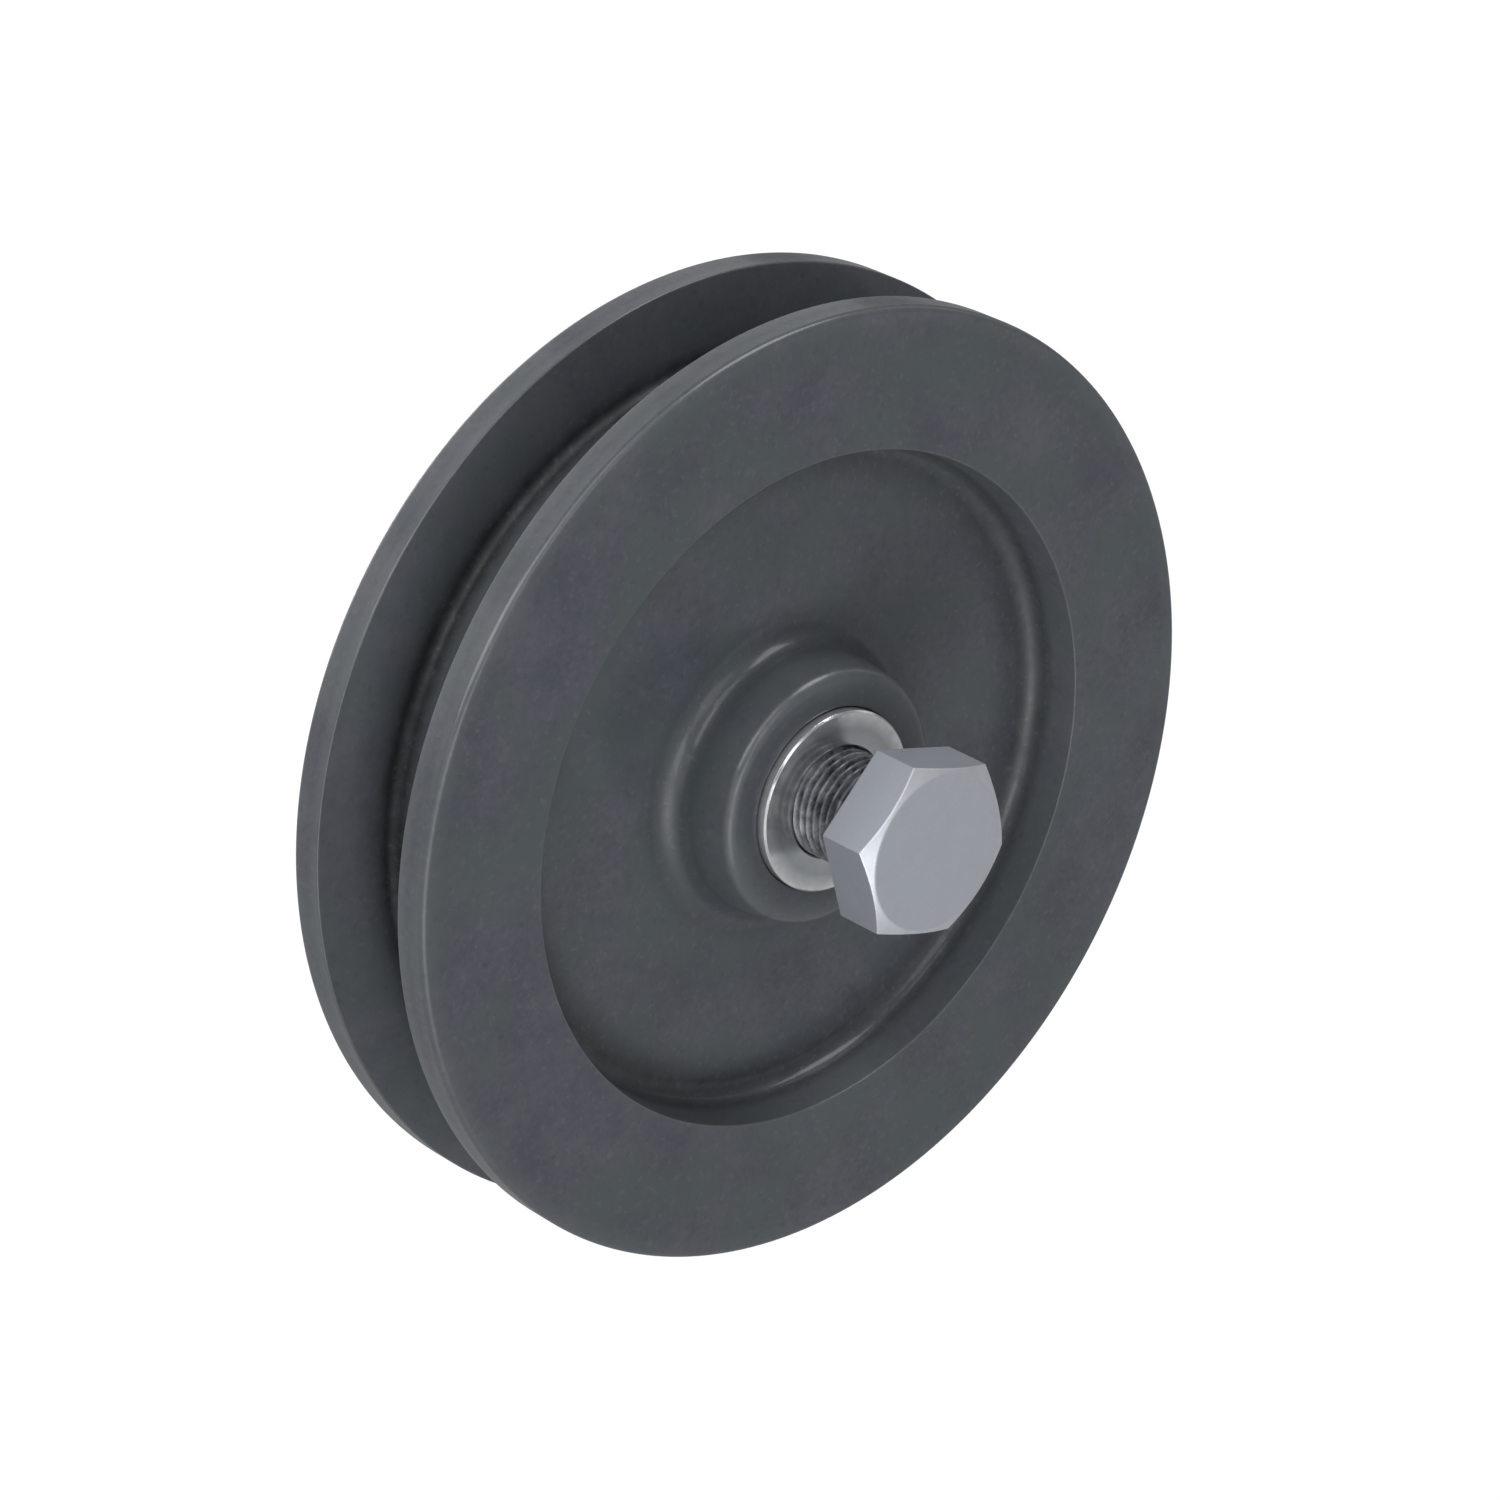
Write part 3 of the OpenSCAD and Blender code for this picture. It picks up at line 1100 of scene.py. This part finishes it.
@dataclass
class AxleBolt:
    """The hex-headed axle bolt with its thread, in millimetres."""

    seat: float = 22.2
    head_h: float = 6.5
    thread_r: float = 6.0
    pitch: float = 1.0
    depth: float = 0.58
    run_in: float = 0.5
    nut_h: float = 10.8
    tip_out: float = 4.8
    tip_chamfer: float = 1.0
    segments: int = 72
    rows_per_pitch: int = 12
    head: Hexagon = field(default_factory=lambda: Hexagon(turn=44.4))

    def length(self) -> float:
        """The shank's length under the head."""
        return 2 * self.seat + self.nut_h + self.tip_out

    def shank(self, shop: Workshop) -> Mesh:
        """Rolls the threaded shank.

        Args:
            shop: The shared trees and finishes.

        Returns:
            An open tube from the head's seat to the tip.
        """
        return grown_mesh(bpy.data.meshes.new("shank_start"), shop.thread, {
            "Start": -self.seat * MM, "Length": self.length() * MM, "Radius": self.thread_r * MM,
            "Pitch": self.pitch * MM, "Depth": self.depth * MM, "Run in": self.run_in * MM,
            "Tip chamfer": self.tip_chamfer * MM, "Segments": self.segments,
            "Rows": round(self.length() / self.pitch * self.rows_per_pitch),
            "Finish": shop.bolt_steel,
        })

    def build(self, shop: Workshop) -> Mesh:
        """Forges the head onto the shank.

        Args:
            shop: The shared trees and finishes.

        Returns:
            The bolt's mesh.
        """
        shape = RingMesh(self.shank(shop))
        rims = [e for e in shape.work.edges if e.is_boundary]
        at_head = [e for e in rims if e.verts[0].co.y < 0]
        bmesh.ops.edgeloop_fill(shape.work, edges=[e for e in rims if e.verts[0].co.y > 0])
        seat_rings = self.head.square_end(-self.seat, 1.0)[::-1]
        face_rings = self.head.chamfered_end(-self.seat - self.head_h, -1.0)
        made = shape.skin(seat_rings + face_rings)
        shape.work.faces.new(made[-1])
        seat = made[0]
        seat_edges = [shape.work.edges.get((seat[i - 1], seat[i])) for i in range(len(seat))]
        bmesh.ops.bridge_loops(shape.work, edges=at_head + seat_edges)
        return shape.finished(shop.bolt_steel)

    def dress(self, shop: Workshop) -> None:
        """Builds the bolt and puts it on the axle."""
        shop.place(self.build(shop), "axle_bolt", "bolt", Body.AXLE, Slot.BOLT_STEEL)


@dataclass
class AxleNut:
    """The hex nut at the rear, in millimetres."""

    seat: float
    height: float
    bore_r: float = 6.1
    countersink: float = 0.5
    shape: Hexagon = field(default_factory=lambda: Hexagon(turn=21.0))

    def build(self, shop: Workshop) -> Mesh:
        """Builds the nut.

        Args:
            shop: The shared trees and finishes.

        Returns:
            The nut's mesh.
        """
        near, far = self.seat, self.seat + self.height
        mouth_r = self.bore_r + self.countersink
        steps = ((mouth_r, far), (self.bore_r, far - self.countersink),
                 (self.bore_r, near + self.countersink), (mouth_r, near))
        bore = [Ring([(a, r, y) for a, _ in self.shape.columns()]) for r, y in steps]
        ends = self.shape.chamfered_end(near, -1.0)[::-1] + self.shape.chamfered_end(far, 1.0)
        work = RingMesh()
        made = work.skin(ends + bore)
        work.join(made[-1], made[0])
        return work.finished(shop.bolt_steel)

    def dress(self, shop: Workshop) -> None:
        """Builds the nut and puts it on the axle."""
        shop.place(self.build(shop), "axle_nut", "nut", Body.AXLE, Slot.BOLT_STEEL)


def towards(azimuth: float, elevation: float) -> Vector:
    """The direction at two angles in degrees; azimuth 0 is at -Y, in front, and 90 is at +X."""
    a, e = math.radians(azimuth), math.radians(elevation)
    return Vector((math.sin(a) * math.cos(e), -math.cos(a) * math.cos(e), math.sin(e)))


@dataclass(frozen=True)
class Softbox:
    """A soft studio light that looks at the wheel."""

    name: str
    azimuth: float
    elevation: float
    watts: float
    side: float
    distance: float = 1.0

    def hang(self) -> None:
        """Puts the light in the scene."""
        lamp = bpy.data.lights.new(self.name, "AREA")
        lamp.shape = "SQUARE"
        lamp.size = self.side
        lamp.energy = self.watts
        holder = in_scene(self.name, lamp)
        away = towards(self.azimuth, self.elevation)
        holder.location = away * self.distance
        holder.rotation_euler = away.to_track_quat("Z", "Y").to_euler()
        holder.visible_camera = False


@dataclass
class Studio:
    """The pale floor, the soft light and the camera."""

    floor_z: float = -52.55
    floor_r: float = 6.0
    floor_segments: int = 96
    floor_colour: Colour = (0.05, 0.05, 0.05, 1)
    floor_rough: float = 0.9
    floor_glow: Colour = (0.30, 0.30, 0.30, 1)
    azimuth: float = -41.311
    elevation: float = 25.931
    lens: float = 135.58
    sensor_w: float = 36.0
    clip: tuple[float, float] = (0.01, 50.0)
    distance: float = 595.3
    slide_right: float = 0.182
    slide_up: float = -0.979
    ambient: float = 0.16
    lights: tuple = (
        Softbox("key_below", -32, -22, 4.6, 0.4),
        Softbox("low_front", -30, 2, 1.2, 0.4),
        Softbox("low_left", -60, 2, 0.5, 0.5),
        Softbox("front_fill", -15, 32, 1.0, 0.5),
        Softbox("side_left", -75, 40, 2.2, 0.5),
        Softbox("far_left", -105, 32, 2.8, 0.5),
        Softbox("back_left", -146, 16, 0.6, 0.5),
        Softbox("rear_left", -170, 32, 1.0, 0.6),
        Softbox("rear_right", 150, 30, 0.5, 0.6),
        Softbox("side_right", 90, 25, 0.3, 0.5),
        Softbox("high_left", -60, 64, 1.4, 0.5),
        Softbox("high_right", 60, 64, 3.6, 0.5),
        Softbox("rear_below", 180, -16, 4.5, 0.6),
        Softbox("rear_low", 170, 4, 1.5, 0.5),
    )

    def floor(self) -> None:
        """Lays a plain pale floor."""
        work = bmesh.new()
        bmesh.ops.create_circle(work, cap_ends=True, segments=self.floor_segments,
                                radius=self.floor_r)
        bmesh.ops.translate(work, verts=work.verts, vec=(0, 0, self.floor_z * MM))
        mesh = bpy.data.meshes.new("studio_floor")
        work.to_mesh(mesh)
        work.free()
        material, wire, shader = blank_material("pale_floor")
        seen = wire.add("ShaderNodeLightPath").outputs["Is Camera Ray"]
        wire.fill(shader, {
            "Base Color": self.floor_colour, "Roughness": self.floor_rough,
            "Specular IOR Level": 0.0, "Emission Strength": 1.0,
            "Emission Color": wire.mix_colours(seen, self.floor_glow, WHITE),
        })
        mesh.materials.append(material)
        floor = in_scene("studio_floor", mesh)
        floor.visible_shadow = False

    def world(self) -> None:
        """Lights the room evenly."""
        world = bpy.data.worlds.new("studio")
        world.use_nodes = True
        backdrop = world.node_tree.nodes["Background"]
        wire = Wiring(world.node_tree)
        seen = wire.add("ShaderNodeLightPath").outputs["Is Camera Ray"]
        wire.fill(backdrop, {"Color": WHITE, "Strength": wire.math("MAXIMUM", seen, self.ambient)})
        bpy.context.scene.world = world

    def camera(self) -> None:
        """Stands the camera where the photograph was taken from."""
        back = towards(self.azimuth, self.elevation)
        right = Vector((0, 0, 1)).cross(back).normalized()
        up = back.cross(right)
        lens = bpy.data.cameras.new("camera")
        lens.lens, lens.sensor_width = self.lens, self.sensor_w
        lens.clip_start, lens.clip_end = self.clip
        holder = in_scene("camera", lens)
        turn = Matrix((right, up, back)).transposed().to_4x4()
        place = (back * self.distance - right * self.slide_right - up * self.slide_up) * MM
        holder.matrix_world = Matrix.Translation(place) @ turn
        bpy.context.scene.camera = holder

    def build(self) -> None:
        """Sets the whole studio up."""
        self.floor()
        self.world()
        for light in self.lights:
            light.hang()
        self.camera()
        bpy.context.scene.view_settings.view_transform = "Standard"


def main() -> None:
    """Builds the studio and every piece in order."""
    logging.basicConfig(level=logging.INFO, format="%(name)s %(message)s")
    Studio().build()
    shop = Workshop()
    bolt = AxleBolt()
    for piece in (WheelCasting(), AxleBush(), bolt, AxleNut(bolt.seat, bolt.nut_h)):
        piece.dress(shop)


if __name__ == "__main__":
    main()
